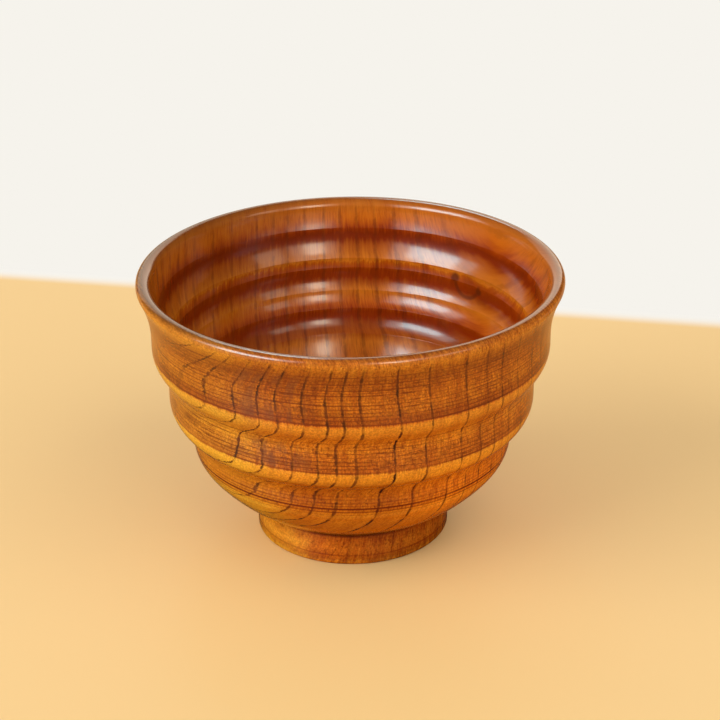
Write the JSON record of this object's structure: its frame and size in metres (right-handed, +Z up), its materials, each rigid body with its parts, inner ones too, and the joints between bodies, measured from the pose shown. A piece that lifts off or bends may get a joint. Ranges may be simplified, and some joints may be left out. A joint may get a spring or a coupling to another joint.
{
  "type": "soup bowl",
  "caption": "Round turned wooden soup bowl with a flared rolled lip, stepped outer bands, a rippled inside and a hollow foot ring, for holding soup in the hand.",
  "frame": {"origin": "centre of the foot ring's lower face, on the turning axis", "axes": "+Z up along the turning axis; the picture looks along +Y, with +X to the right"},
  "size_m": [0.115, 0.115, 0.0758],
  "materials": {
    "lacquered_wood": "glossy clear lacquer over stained, open-grained wood"
  },
  "bodies": {
    "root": {"bowl": "lacquered_wood"}
  },
  "joints": []
}
